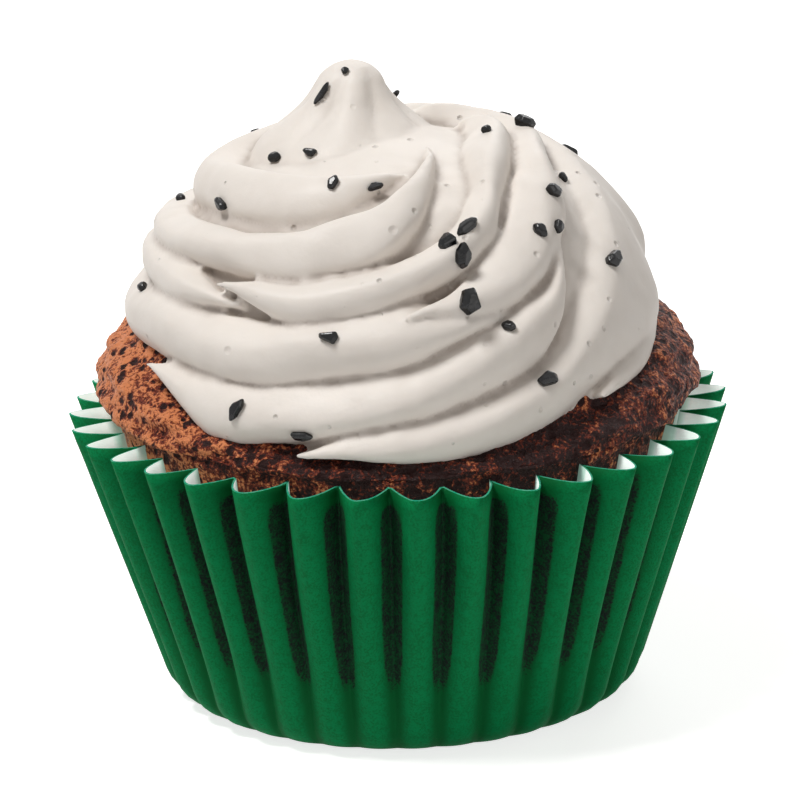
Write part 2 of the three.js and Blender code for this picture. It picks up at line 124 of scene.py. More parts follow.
def smooth_track(rows: np.ndarray, at: np.ndarray) -> np.ndarray:
    """Reads smooth curves through rows of [at, value, ...].

    Args:
        rows: Knots, with the first column rising.
        at: Where to read the curves.

    Returns:
        One row of values for each reading.
    """
    knots, values = rows[:, 0], rows[:, 1:]
    steps = np.diff(knots)[:, None]
    rises = np.diff(values, axis=0) / steps
    inner = (rises[1:] * steps[:-1] + rises[:-1] * steps[1:]) / (steps[1:] + steps[:-1])
    slopes = np.vstack([rises[:1], inner, rises[-1:]])
    low = np.clip(np.searchsorted(knots, at, side="right") - 1, 0, len(knots) - 2)
    span = steps[low]
    t = np.clip((at - knots[low])[:, None] / span, 0, 1)
    return (
        values[low] * (1 + 2 * t) * (1 - t) ** 2
        + slopes[low] * span * t * (1 - t) ** 2
        + values[low + 1] * t * t * (3 - 2 * t)
        + slopes[low + 1] * span * t * t * (t - 1)
    )


def lofted(name: str, rings: np.ndarray) -> bpy.types.Object:
    """Makes a closed body through rings of points.

    Args:
        name: The object's name.
        rings: An array of shape rings, points, 3, in millimetres. Each ring runs anticlockwise
            seen from the last ring's end.

    Returns:
        The new object.
    """
    ring_count, count, _ = rings.shape
    mesh = bmesh.new()
    grid = [[mesh.verts.new(point * MM) for point in ring] for ring in rings]
    for low, high in zip(grid, grid[1:]):
        for i in range(count):
            after = (i + 1) % count
            mesh.faces.new((low[i], low[after], high[after], high[i]))
    mesh.faces.new(tuple(reversed(grid[0])))
    mesh.faces.new(tuple(grid[-1]))
    data = bpy.data.meshes.new(name)
    mesh.to_mesh(data)
    mesh.free()
    piece = bpy.data.objects.new(name, data)
    bpy.context.scene.collection.objects.link(piece)
    return piece


def joined(name: str, parts: list[bpy.types.Object]) -> bpy.types.Object:
    """Joins several objects into the first and renames it."""
    deselect_all()
    for part in parts:
        part.select_set(True)
    bpy.context.view_layer.objects.active = parts[0]
    bpy.ops.object.join()
    parts[0].name = parts[0].data.name = name
    return parts[0]


def ringed_shell(name: str, sides: int, rings: list[tuple[float, float]], close: bool) -> bpy.types.Object:
    """Models a round shell by drawing out one ring after another from a flat disc.

    Args:
        name: The object's name.
        sides: Points in each ring.
        rings: Radius and height of each ring in millimetres, from the disc's edge on.
        close: Whether the last ring is drawn together to a point.

    Returns:
        The new object.
    """
    deselect_all()
    radius, height = rings[0]
    bpy.ops.mesh.primitive_circle_add(
        vertices=sides, radius=radius * MM, fill_type="TRIFAN", location=(0, 0, height * MM)
    )
    piece = bpy.context.object
    bpy.ops.object.transform_apply(location=True, rotation=True, scale=True)
    bpy.ops.object.mode_set(mode="EDIT")
    bpy.ops.mesh.flip_normals()
    bpy.ops.mesh.select_all(action="DESELECT")
    bpy.ops.mesh.select_mode(type="EDGE")
    bpy.ops.mesh.select_non_manifold(extend=False, use_wire=False, use_multi_face=False)
    for next_radius, next_height in rings[1:]:
        bpy.ops.mesh.extrude_edges_move(
            TRANSFORM_OT_translate={"value": (0, 0, (next_height - height) * MM)}
        )
        share = next_radius / radius
        bpy.ops.transform.resize(value=(share, share, 1), center_override=(0, 0, next_height * MM))
        radius, height = next_radius, next_height
    if close:
        bpy.ops.mesh.merge(type="CENTER")
    bpy.ops.object.mode_set(mode="OBJECT")
    piece.name = piece.data.name = name
    return piece


# Shader building


@dataclass
class NodeSheet:
    """A small helper that adds and links the nodes of one tree."""

    tree: bpy.types.NodeTree

    def add(self, kind: str, values: dict[str, object] | None = None, **settings: object) -> bpy.types.Node:
        """Adds a node.

        Args:
            kind: Blender's name for the kind of node.
            values: Numbers, colours or sockets for the node's inputs, by name or place.
            **settings: The node's own settings.

        Returns:
            The new node.
        """
        new = self.tree.nodes.new(kind)
        for key, value in settings.items():
            setattr(new, key, value)
        for key, value in (values or {}).items():
            self.feed(new.inputs[key], value)
        return new

    def feed(self, socket: bpy.types.NodeSocket, value: object) -> None:
        """Links a socket or sets a plain value on an input."""
        if isinstance(value, bpy.types.NodeSocket):
            self.tree.links.new(value, socket)
        else:
            socket.default_value = value

    def ramp(self, factor: object, low: float, high: float) -> bpy.types.NodeSocket:
        """A smooth mask that rises from 0 at low to 1 at high."""
        new = self.add("ShaderNodeMapRange", {"Value": factor, "From Min": low, "From Max": high})
        new.interpolation_type = "SMOOTHSTEP"
        return new.outputs["Result"]

    def math(
        self, operation: str, first: object, second: object = 0.0, clamp: bool = False
    ) -> bpy.types.NodeSocket:
        """One arithmetic step on two numbers."""
        new = self.add("ShaderNodeMath", {0: first, 1: second}, operation=operation, use_clamp=clamp)
        return new.outputs[0]

    def mix(self, factor: object, first: object, second: object) -> bpy.types.NodeSocket:
        """A colour between two colours."""
        new = self.add("ShaderNodeMix", data_type="RGBA")
        self.feed(new.inputs[0], factor)
        self.feed(new.inputs[6], first)
        self.feed(new.inputs[7], second)
        return new.outputs[2]

    def noise(
        self, where: object, scale: float, detail: float = 3, rough: float = 0.5
    ) -> bpy.types.NodeSocket:
        """Soft noise from 0 to 1, with scale in waves a metre."""
        values = {"Vector": where, "Scale": scale, "Detail": detail, "Roughness": rough}
        return self.add("ShaderNodeTexNoise", values).outputs["Fac"]

    def span(
        self, value: object, low: float, high: float, start: float = 0, end: float = 1
    ) -> bpy.types.NodeSocket:
        """A number that goes evenly from low to high while the value goes from start to end."""
        values = {"Value": value, "From Min": start, "From Max": end, "To Min": low, "To Max": high}
        return self.add("ShaderNodeMapRange", values).outputs["Result"]

    def group(self, tree: bpy.types.NodeTree, **values: float) -> bpy.types.NodeSocket:
        """The output of a shared group, with its inputs by name and _ for a space."""
        new = self.add("ShaderNodeGroup", node_tree=tree)
        for key, value in values.items():
            new.inputs[key.replace("_", " ")].default_value = value
        return new.outputs[0]

    def bump(self, shader: bpy.types.Node, height: object, strength: float, distance: float) -> None:
        """Gives a shader a bump, with its distance in metres."""
        values = {"Height": height, "Strength": strength, "Distance": distance}
        self.feed(shader.inputs["Normal"], self.add("ShaderNodeBump", values).outputs[0])

    def attribute(self, name: str) -> bpy.types.NodeSocket:
        """A number that is stored on the mesh."""
        return self.add("ShaderNodeAttribute", attribute_name=name).outputs["Fac"]


def new_group(
    name: str, inputs: dict[str, float], outputs: dict[str, str]
) -> tuple[bpy.types.NodeTree, NodeSheet, bpy.types.Node, bpy.types.Node]:
    """Starts a shader node group that reads object coordinates.

    Args:
        name: The group's name.
        inputs: Names of its number inputs, with what each starts as.
        outputs: Names of its outputs, with the kind of each socket.

    Returns:
        The group, a sheet to add nodes with, and its input and output nodes.
    """
    tree = bpy.data.node_groups.new(name, "ShaderNodeTree")
    for label, value in inputs.items():
        socket = tree.interface.new_socket(label, in_out="INPUT", socket_type="NodeSocketFloat")
        socket.default_value = value
    for label, kind in outputs.items():
        tree.interface.new_socket(label, in_out="OUTPUT", socket_type=kind)
    return tree, NodeSheet(tree), tree.nodes.new("NodeGroupInput"), tree.nodes.new("NodeGroupOutput")


def pits_group() -> bpy.types.NodeTree:
    """Scattered small pits, as bubbles leave in frosting and crumb.

    Returns:
        A group with a mask that is 1 in the middle of a pit.
    """
    tree, sheet, given, out = new_group(
        "scattered pits", {"Scale": 400.0, "Share": 0.2, "Size": 0.2}, {"Mask": "NodeSocketFloat"}
    )
    where = sheet.add("ShaderNodeTexCoord").outputs["Object"]
    cells = sheet.add("ShaderNodeTexVoronoi", {"Vector": where, "Scale": given.outputs["Scale"]})
    lot = sheet.add("ShaderNodeSeparateColor", {"Color": cells.outputs["Color"]})
    chosen = sheet.math("LESS_THAN", lot.outputs[0], given.outputs["Share"])
    reach = sheet.math("MULTIPLY", given.outputs["Size"], sheet.math("ADD", lot.outputs[1], 0.5))
    fade = sheet.math("SUBTRACT", 1.0, sheet.math("DIVIDE", cells.outputs["Distance"], reach), clamp=True)
    sheet.feed(out.inputs["Mask"], sheet.math("MULTIPLY", chosen, fade))
    return tree


def grain_group() -> bpy.types.NodeTree:
    """Fine grain in two sizes, for crumb, paper and frosting.

    Returns:
        A group with a height that varies about 0.5.
    """
    tree, sheet, given, out = new_group(
        "fine grain", {"Scale": 3000.0, "Coarse share": 0.5}, {"Height": "NodeSocketFloat"}
    )
    where = sheet.add("ShaderNodeTexCoord").outputs["Object"]
    fine = sheet.noise(where, given.outputs["Scale"], 2, 0.6)
    coarse = sheet.noise(where, sheet.math("MULTIPLY", given.outputs["Scale"], 0.23), 3, 0.6)
    blend = sheet.math("MULTIPLY", coarse, given.outputs["Coarse share"])
    rest = sheet.math("MULTIPLY", fine, sheet.math("SUBTRACT", 1.0, given.outputs["Coarse share"]))
    sheet.feed(out.inputs["Height"], sheet.math("ADD", blend, rest))
    return tree


@dataclass
class Finishes:
    """The shader groups that the materials share."""

    pits: bpy.types.NodeTree = field(default_factory=pits_group)
    grain: bpy.types.NodeTree = field(default_factory=grain_group)


def start_material(name: str, **sockets: object) -> tuple[bpy.types.Material, NodeSheet, bpy.types.Node]:
    """Starts a material with a Principled shader.

    Args:
        name: The material's name.
        **sockets: Plain values for the shader's inputs, with _ for a space.

    Returns:
        The material, a sheet to add nodes with, and the shader.
    """
    material = bpy.data.materials.new(name)
    material.use_nodes = True
    shader = material.node_tree.nodes["Principled BSDF"]
    for key, value in sockets.items():
        shader.inputs[key.replace("_", " ")].default_value = value
    return material, NodeSheet(material.node_tree), shader


@dataclass(frozen=True)
class FrostingFinish:
    """Soft white buttercream with small bubbles, with painted shade in its creases and in the bubbles' pits.
    """

    light: tuple[float, float, float, float] = (0.83, 0.78, 0.73, 1)
    shade: tuple[float, float, float, float] = (0.74, 0.685, 0.635, 1)
    # The colour below is painted shade that the creases are darkened towards.
    crease: tuple[float, float, float, float] = (0.36, 0.3, 0.26, 1)

    def material(self, finishes: Finishes) -> bpy.types.Material:
        """Builds the material."""
        material, sheet, shader = start_material(
            "buttercream", Subsurface_Weight=0.08, Subsurface_Scale=0.0012, Specular_IOR_Level=0.4
        )
        shader.inputs["Subsurface Radius"].default_value = (1.0, 0.85, 0.7)
        where = sheet.add("ShaderNodeTexCoord").outputs["Object"]
        small = sheet.group(finishes.pits, Scale=560, Share=0.22, Size=0.16)
        large = sheet.group(finishes.pits, Scale=230, Share=0.14, Size=0.1)
        pits = sheet.math("MAXIMUM", small, large)
        cloud = sheet.noise(where, 140, 3, 0.55)
        # The cloud varies the tone at random; the pits are darkened as painted shade in the bubbles.
        pit_shade = sheet.math("MULTIPLY", pits, 0.8)
        cloudy = sheet.math("MULTIPLY", sheet.ramp(cloud, 0.4, 0.7), 0.4)
        tone_and_pit_shade = sheet.math("ADD", cloudy, pit_shade, clamp=True)
        body = sheet.mix(tone_and_pit_shade, self.light, self.shade)
        # Darkens the creases by the stored mask: painted shade.
        sheet.feed(shader.inputs["Base Color"], sheet.mix(sheet.attribute("crease"), body, self.crease))
        sheet.feed(shader.inputs["Roughness"], sheet.span(cloud, 0.42, 0.62))
        grain = sheet.group(finishes.grain, Scale=1500, Coarse_share=0.7)
        sheet.bump(shader, sheet.math("SUBTRACT", sheet.math("MULTIPLY", grain, 0.25), pits), 0.8, 0.0004)
        return material


@dataclass(frozen=True)
class CrumbFinish:
    """Baked chocolate crumb, with painted light on the left side and on raised crumbs, and painted shade in
    pores, cracks and at the front under the frosting.
    """

    # The dark colour is the crumb's deepest tone and also the painted shade in pores and cracks.
    dark: tuple[float, float, float, float] = (0.014, 0.002, 0.0015, 1)
    middle: tuple[float, float, float, float] = (0.17, 0.026, 0.011, 1)
    # The brightest colour stands for painted highlights on the crumb.
    painted_highlight: tuple[float, float, float, float] = (0.72, 0.25, 0.1, 1)
    # Strength of the painted light on the left side.
    painted_left_light: float = 0.12
    # Strength of the painted shade at the front, under the frosting's overhang.
    painted_front_shade: float = 0.12

    def material(self, finishes: Finishes) -> bpy.types.Material:
        """Builds the material."""
        material, sheet, shader = start_material("chocolate crumb", Specular_IOR_Level=0.2)
        where = sheet.add("ShaderNodeTexCoord").outputs["Object"]
        along = sheet.add("ShaderNodeSeparateXYZ", {"Vector": where}).outputs[0]
        # Painted light: the left side is made lighter and warmer, as if lit more.
        left = sheet.ramp(along, 0.004, -0.026)
        grain = sheet.group(finishes.grain, Scale=2900, Coarse_share=0.35)
        pore = sheet.group(finishes.pits, Scale=850, Share=0.4, Size=0.5)
        # Pores darken the colour as painted shade, as well as denting the bump.
        height = sheet.math("SUBTRACT", grain, sheet.math("MULTIPLY", pore, 0.5))
        # Raised lumps are painted lighter and pores and cracks darker: painted light and shade on the relief.
        raised = sheet.math("MULTIPLY", sheet.attribute("raised"), 0.28)
        left_light = sheet.math("MULTIPLY", left, self.painted_left_light)
        # Painted shade: the front, under the frosting's overhang, is darkened.
        front_shade = sheet.math("MULTIPLY", sheet.attribute("front"), self.painted_front_shade)
        lift = sheet.math("ADD", sheet.math("ADD", height, raised), left_light)
        lift = sheet.math("SUBTRACT", lift, front_shade)
        base = sheet.mix(sheet.ramp(lift, 0.4, 0.52), self.dark, self.middle)
        colour = sheet.mix(sheet.ramp(lift, 0.51, 0.63), base, self.painted_highlight)
        sheet.feed(shader.inputs["Base Color"], colour)
        sheet.feed(shader.inputs["Roughness"], sheet.span(height, 0.75, 0.32, start=0.2, end=0.65))
        sheet.bump(shader, height, 1.0, 0.0007)
        return material


@dataclass(frozen=True)
class PaperFinish:
    """Greaseproof paper, green outside, with the cake's fat showing dark in the inner folds, painted shade in
    the pleats' folds and a painted glow on the inside.
    """

    side: Side
    ridge: tuple[float, float, float, float] = (0.0, 0.225, 0.07, 1)
    # The fold colour is the painted shade in the pleats' folds, and also the colour of the dark flecks.
    fold: tuple[float, float, float, float] = (0.0, 0.105, 0.025, 1)
    grease: tuple[float, float, float, float] = (0.009, 0.011, 0.012, 1)
    pale: tuple[float, float, float, float] = (0.84, 0.93, 0.89, 1)
    mint: tuple[float, float, float, float] = (0.0, 0.36, 0.2, 1)
    # Strength of the painted glow on the inside.
    painted_glow: float = 0.3

    def material(self, finishes: Finishes) -> bpy.types.Material:
        """Builds the material for one side of the sheet."""
        material, sheet, shader = start_material(
            f"paper {self.side.name.lower().replace('_', ' ')}", Specular_IOR_Level=0.1
        )
        where = sheet.add("ShaderNodeTexCoord").outputs["Object"]
        fibre = sheet.group(finishes.grain, Scale=4200, Coarse_share=0.35)
        if self.side is Side.OUTSIDE:
            ridge = sheet.attribute("ridge")
            # Painted shade: the pleats' folds are darker green than the ridges.
            base = sheet.mix(sheet.ramp(ridge, 0.2, 0.95), self.fold, self.ridge)
            speckle = sheet.math("MULTIPLY", sheet.math("SUBTRACT", fibre, 0.5), 1.0)
            soak = sheet.ramp(sheet.math("ADD", sheet.attribute("grease"), speckle), 0.2, 0.55)
            base = sheet.mix(soak, base, self.grease)
            flecked = sheet.ramp(fibre, 0.62, 0.35)
            base = sheet.mix(sheet.math("MULTIPLY", flecked, 0.65), base, self.fold)
        elif self.side is Side.INSIDE:
            cloud = sheet.math("MULTIPLY", sheet.ramp(sheet.noise(where, 260, 3), 0.4, 0.7), 0.12)
            near_fold = sheet.math("MULTIPLY", sheet.ramp(sheet.attribute("ridge"), 0.3, 0.0), 0.6)
            base = sheet.mix(sheet.math("MAXIMUM", cloud, near_fold), self.pale, self.mint)
            # Painted light: the inside glows as if lit through the paper.
            sheet.feed(shader.inputs["Emission Color"], base)
            shader.inputs["Emission Strength"].default_value = self.painted_glow
        else:
            paler = sheet.math("MULTIPLY", sheet.ramp(fibre, 0.4, 0.6), 0.12)
            base = sheet.mix(paler, self.mint, self.pale)
        sheet.feed(shader.inputs["Base Color"], base)
        sheet.feed(shader.inputs["Roughness"], sheet.span(fibre, 0.62, 0.82))
        sheet.bump(shader, fibre, 0.5, 0.00012)
        return material


@dataclass(frozen=True)
class SugarFinish:
    """Black sugar crystal with glossy, slightly worn facets."""

    body: tuple[float, float, float, float] = (0.003, 0.003, 0.0035, 1)
    dust: tuple[float, float, float, float] = (0.022, 0.022, 0.025, 1)

    def material(self, finishes: Finishes) -> bpy.types.Material:
        """Builds the material."""
        material, sheet, shader = start_material("black sugar", Specular_IOR_Level=0.35)
        grain = sheet.group(finishes.grain, Scale=2600, Coarse_share=0.6)
        dusty = sheet.ramp(grain, 0.48, 0.7)
        sheet.feed(shader.inputs["Base Color"], sheet.mix(dusty, self.body, self.dust))
        sheet.feed(shader.inputs["Roughness"], sheet.span(dusty, 0.16, 0.4))
        sheet.bump(shader, grain, 0.25, 0.0002)
        return material


# Paper cup


@dataclass
class PaperCup:
    """The pleated baking cup."""

    finishes: Finishes
    height: float = 31.5
    rim_radius: float = 35.5
    corner_radius: float = 25.4
    corner_round: float = 5.0
    flat_radius: float = 19.5
    pleats: int = 36
    pleat_turn: float = 2.8
    rim_depth: float = 4.5
    base_depth: float = 0.9
    paper: float = 0.2
    soaked_azimuth: float = -88.0
    soaked_half_width: float = 62.0
    points_per_pleat: int = 24
    wall_levels: int = 20
    corner_levels: int = 6

    def outline(self) -> np.ndarray:
        """Rows of ridge radius, height and pleat depth, from the flat disc up to the rim."""
        lean = math.atan2(self.height, self.rim_radius - self.corner_radius)
        reach = self.corner_round * math.tan((math.pi - lean) / 2) * math.tan(lean / 2) ** 2
        bend = self.corner_radius - reach
        rows = [(self.flat_radius, 0.0, 0.0)]
        for turn in np.linspace(0.15, 1, self.corner_levels):
            angle = -math.pi / 2 + turn * lean
            rows.append(
                (
                    bend + self.corner_round * math.cos(angle),
                    self.corner_round * (1 + math.sin(angle)),
                    self.base_depth * turn,
                )
            )
        start = np.array(rows[-1])
        end = np.array([self.rim_radius, self.height, self.rim_depth])
        climbs = np.linspace(0, 1, self.wall_levels + 1)[1:]
        wall = [tuple(start + (end - start) * climb) for climb in climbs]
        return np.array(rows + wall)

    def model(self) -> bpy.types.Object:
        """Models the pleated sheet and gives it its thickness."""
        outline = self.outline()
        sides = self.pleats * self.points_per_pleat
        piece = ringed_shell("paper_cup_pleated", sides, [(r, z) for r, z, _ in outline], close=False)
        points = points_of(piece)
        radius = np.hypot(points[:, 0], points[:, 1])
        azimuth = np.degrees(np.arctan2(points[:, 1], points[:, 0]))
        level = np.argmin(np.abs(points[:, 2][:, None] - outline[:, 1][None]), axis=1)
        on_wall = radius > self.flat_radius - 0.01
        phase = (azimuth - self.pleat_turn) / 360 * self.pleats
        number = np.floor(phase + 0.5).astype(int) % self.pleats
        lots = np.random.default_rng(7).uniform(-1, 1, (self.pleats, 4))
        climb = smooth_step(1, self.height, points[:, 2])
        ridge = np.abs(np.cos(np.pi * phase))
        depth = outline[level, 2] * (1 + 0.1 * lots[number, 0] * climb)
        wave = 0.25 * lots[number, 1] * climb * np.cos(np.pi * (phase - np.round(phase))) ** 2
        new_radius = outline[level, 0] - depth * (1 - ridge) + wave
        sway = 0.5 * climb * np.sin(np.radians(azimuth * 5) + points[:, 2] * 0.12) * (1 - ridge**8)
        turned = np.radians(azimuth + sway)
        lift = 0.12 * climb * np.sin(np.radians(azimuth * 3 + 40)) * (points[:, 2] > self.height - 2)
        points[on_wall, 0] = (new_radius * np.cos(turned))[on_wall]
        points[on_wall, 1] = (new_radius * np.sin(turned))[on_wall]
        points[on_wall, 2] += lift[on_wall]
        move_points(piece, points)
        self.mark(piece, ridge, climb, azimuth)
        make_active(piece)
        for side in Side:
            piece.data.materials.append(PaperFinish(side).material(self.finishes))
        apply_modifier(
            piece,
            "sheet thickness",
            "SOLIDIFY",
            thickness=self.paper * MM,
            offset=-1,
            use_even_offset=True,
            material_offset=1,
            material_offset_rim=2,
        )
        piece.data.shade_smooth()
        return piece

    def mark(
        self, piece: bpy.types.Object, ridge: np.ndarray, climb: np.ndarray, azimuth: np.ndarray
    ) -> None:
        """Stores on the mesh where the ridges are and where fat has soaked the inner folds.

        Args:
            piece: The cup.
            ridge: 1 on a ridge and 0 in an inner fold, for each vertex.
            climb: 0 at the base and 1 at the rim.
            azimuth: Degrees round the cup.
        """
        front = np.exp(-(((azimuth - self.soaked_azimuth) / self.soaked_half_width) ** 4))
        lots = np.random.default_rng(11).uniform(0, 1, self.pleats + 1)
        phase = (azimuth - self.pleat_turn) / 360 * self.pleats
        fold_number = np.floor(phase).astype(int) % self.pleats
        soaked = 0.75 + 0.5 * lots[fold_number]
        narrow = np.clip(2.1 * (1 - ridge / 0.66), 0, 1)
        high = smooth_step(0.06, 0.36, climb) * (1 - smooth_step(0.965, 1, climb))
        grease = narrow * high * (0.6 + 0.8 * front) * soaked
        for name, values in (("ridge", ridge), ("grease", grease)):
            layer = piece.data.attributes.new(name, "FLOAT", "POINT")
            layer.data.foreach_set("value", values.astype(np.float32))


# Cake


@dataclass
class Cake:
    """The baked chocolate cake that fills the cup and domes over it."""

    finishes: Finishes
    cup: PaperCup
    clearance: float = 0.3
    bulge_radius: float = 32.4
    bulge_rise: float = 2.6
    shoulder_radius: float = 30.0
    lump_height: float = 0.5
    shoulder_rise: float = 8.4
    top_rise: float = 17.0
    front_drop: float = 6.6
    front_azimuth: float = -88.0
    front_half_width: float = 64.0
    sides: int = 480
    relief: float = 0.6

    def fold_radius(self, height: np.ndarray) -> np.ndarray:
        """Radius that the cup's inner folds leave at a height."""
        rows = self.cup.outline()
        sheet_reach = self.cup.paper / math.cos(math.radians(60))
        return np.interp(height, rows[:, 1], rows[:, 0] - rows[:, 2]) - sheet_reach

    def front_share(self, azimuth: np.ndarray) -> np.ndarray:
        """How much of the rise is lost at an azimuth, up to 1 at the front."""
        away = (azimuth - self.front_azimuth + 180) % 360 - 180
        return np.exp(-((np.abs(away) / self.front_half_width) ** 3))

    def profile(self, front: float) -> np.ndarray:
        """Rows of radius and height up the side and over the top, for one share of the front's drop."""
        rim = self.cup.height
        shoulder = self.shoulder_rise - self.front_drop * front
        top = self.top_rise - 0.6 * self.front_drop * front
        foot = float(self.fold_radius(np.array(self.cup.corner_round))) - self.clearance - 3
        low = [(foot, self.cup.paper + self.clearance)]
        for level in (self.cup.corner_round, 0.55 * rim, rim - 0.4):
            low.append((float(self.fold_radius(np.array(level))) - self.clearance, level))
        bulge = self.bulge_radius + (self.shoulder_radius + 0.7 - self.bulge_radius) * front
        high = [
            (bulge, rim + self.bulge_rise * (1 - 0.7 * front)),
            (self.shoulder_radius + 1.4 - 1.2 * front, rim + 0.75 * shoulder + 0.3),
            (self.shoulder_radius - 1.6, rim + shoulder + 1),
            (0.72 * self.shoulder_radius, rim + shoulder + (top - shoulder) * 0.55),
            (0.35 * self.shoulder_radius, rim + shoulder + (top - shoulder) * 0.92),
        ]
        return np.array(low + high)

    def model(self) -> bpy.types.Object:
        """Models the cake with its open crumb where it shows."""
        places = np.concatenate(
            [np.linspace(0, 2.6, 5)[:-1], np.linspace(2.6, 6.4, 50), np.linspace(6.4, 8, 7)[1:]]
        )
        mean = smooth_track(np.column_stack([np.arange(9.0), self.profile(0.0)]), places)
        piece = ringed_shell("cake_crumb", self.sides, [tuple(row) for row in mean], close=True)
        points = points_of(piece)
        azimuth = np.degrees(np.arctan2(points[:, 1], points[:, 0]))
        level = np.argmin(
            np.hypot(
                np.hypot(points[:, 0], points[:, 1])[:, None] - mean[None, :, 0],
                points[:, 2][:, None] - mean[None, :, 1],
            ),
            axis=1,
        )
        front = self.front_share(azimuth)
        dropped = smooth_track(np.column_stack([np.arange(9.0), self.profile(1.0)]), places)
        change = (dropped - mean)[level] * front[:, None]
        middle = np.hypot(points[:, 0], points[:, 1]) < 0.5
        radius = np.hypot(points[:, 0], points[:, 1])
        scale = np.where(middle, 1, (radius + change[:, 0]) / np.maximum(radius, 1))
        points[:, 0] *= scale
        points[:, 1] *= scale
        points[:, 2] += change[:, 1]
        move_points(piece, points)
        self.open_crumb(piece)
        # The front share is kept on the mesh as the mask for the crumb's painted shade at the front.
        layer = piece.data.attributes.new("front", "FLOAT", "POINT")
        layer.data.foreach_set("value", front.astype(np.float32))
        piece.data.materials.append(CrumbFinish().material(self.finishes))
        piece.data.shade_smooth()
        return piece

    def lump(self, azimuth: np.ndarray, height: np.ndarray) -> np.ndarray:
        """How far the largest lumps stand out or in at places above the rim."""
        turn = np.radians(azimuth)
        waves = np.sin(9 * turn + 1.9 * height) + np.sin(13 * turn - 2.3 * height) * np.cos(4 * turn)
        shown = smooth_step(self.cup.height - 1, self.cup.height + 1, height)
        return 0.5 * self.lump_height * shown * waves

    def open_crumb(self, piece: bpy.types.Object) -> None:
        """Roughens the risen part with lumps and pores, and stores how far each point stands out."""
        points = points_of(piece)
        normals = np.empty(3 * len(points))
        piece.data.vertices.foreach_get("normal", normals)
        normals = normals.reshape(-1, 3)
        azimuth = np.degrees(np.arctan2(points[:, 1], points[:, 0]))
        lumps = self.lump(azimuth, points[:, 2])
        points[:, 0] += lumps * np.cos(np.radians(azimuth))
        points[:, 1] += lumps * np.sin(np.radians(azimuth))
        shown = smooth_step(self.cup.height - 2.5, self.cup.height + 0.5, points[:, 2])
        raised = np.zeros(len(points), dtype=np.float32)
        for i in np.flatnonzero(shown > 0):
            where = Vector(points[i])
            lumps = noise.fractal(where * 0.45, 1.0, 2.0, 4, noise_basis="PERLIN_ORIGINAL")
            cell = noise.voronoi(where * 0.62)[0]
            fine = noise.voronoi(where * 1.5 + Vector((9, 4, 2)))[0]
            pore = max(0.0, 1 - cell[0] / 0.42) * (0.4 + noise.cell(where * 0.31))
            crack = max(0.0, 1 - (cell[1] - cell[0]) / 0.16)
            small = max(0.0, 1 - fine[0] / 0.4)
            raised[i] = 0.4 * lumps - 0.7 * pore - 0.25 * crack - 0.3 * small + 0.15
        points += normals * (self.relief * raised * shown)[:, None]
        move_points(piece, points)
        # How far each point stands out also sets the crumb's painted light on lumps and painted shade in
        # pores.
        layer = piece.data.attributes.new("raised", "FLOAT", "POINT")
        layer.data.foreach_set("value", raised)


# Frosting


@dataclass(frozen=True)
class Ribbon:
    """One piped ribbon, as rows along its crest.

    Each row holds the azimuth, the crest's height above the lowest crest, how far the ribbon
    reaches down the dome from its crest, and how far it reaches up.
    """

    crest: tuple[tuple[float, float, float, float], ...]
    height: float


